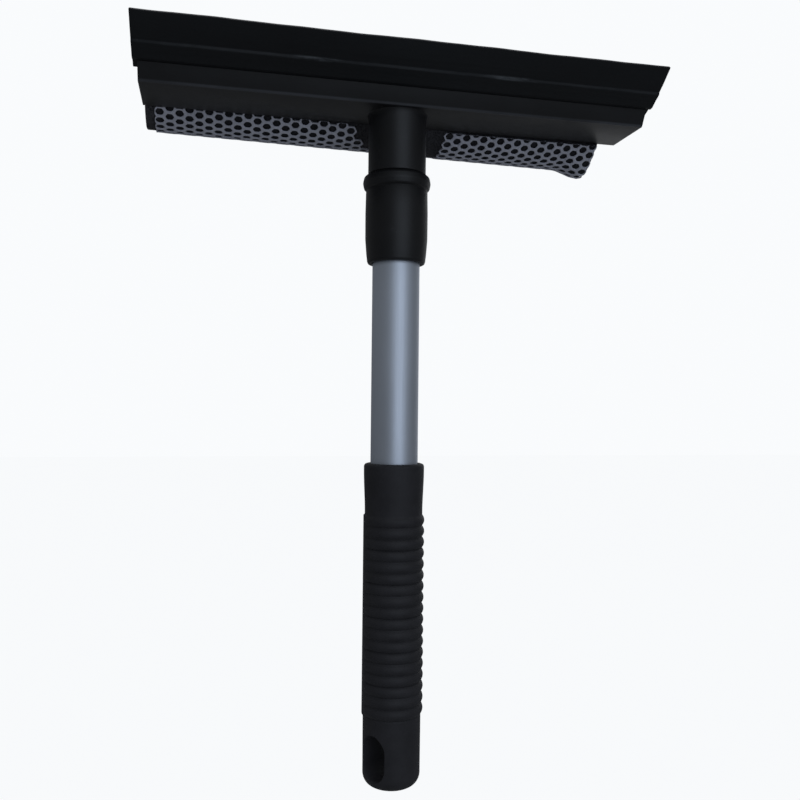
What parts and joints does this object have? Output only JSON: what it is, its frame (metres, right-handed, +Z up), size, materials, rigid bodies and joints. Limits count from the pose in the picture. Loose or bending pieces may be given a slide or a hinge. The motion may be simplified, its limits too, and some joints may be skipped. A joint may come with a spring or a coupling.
{
  "type": "window cleaning squeegee",
  "caption": "Window squeegee with a rubber blade, a net-covered sponge and a short telescopic handle that slides out and locks by a twist.",
  "frame": {"origin": "middle of the flat butt face of the grip, on the handle's axis", "axes": "+Z up the handle towards the head, +X along the head, the blade faces -Y and the sponge faces +Y"},
  "size_m": [0.2356, 0.0873, 0.3398],
  "materials": {
    "grip_black": "matte, softly moulded",
    "moulded_black": "satin moulded",
    "rubber_black": "matte",
    "foam_black": "open-cell foam",
    "net_grey": "coarse knitted net",
    "aluminium": "satin anodised",
    "nylon": "natural, satin",
    "steel": "zinc plated"
  },
  "bodies": {
    "head": {"head_body": "moulded_black", "blade": "rubber_black", "blade_stop_left": "moulded_black", "blade_stop_right": "moulded_black", "sponge_backing": "moulded_black", "sponge": "foam_black", "net": "net_grey", "backing_screw_1": "steel", "backing_screw_2": "steel", "backing_screw_3": "steel", "backing_screw_4": "steel", "neck_plug": "nylon", "neck_screw": "steel", "inner_tube": "aluminium", "lock_plug": "nylon", "cam_washer": "steel", "cam_screw": "steel"},
    "glide": {"glide_ring": "nylon"},
    "handle": {"outer_tube": "aluminium", "grip": "grip_black", "tube_end_plug": "nylon", "collar": "moulded_black", "guide_bush": "nylon"},
    "cam": {"lock_cam": "nylon"}
  },
  "joints": [
    {"name": "twist", "type": "hinge", "parent": "head", "child": "glide", "pos_m": [0, 0, 0.069], "axis": [0, 0, 1], "range_deg": [-35, 35]},
    {"name": "telescope", "type": "slide", "parent": "glide", "child": "handle", "axis": [0, 0, -1], "range_m": [0, 0.16]},
    {"name": "cam_turn", "type": "hinge", "parent": "head", "child": "cam", "pos_m": [0.0008, 0, 0.057], "axis": [0, 0, 1], "range_deg": [-35, 35]}
  ],
  "couplings": [
    {"joint": "cam_turn", "follows": "twist", "ratio": 1}
  ]
}
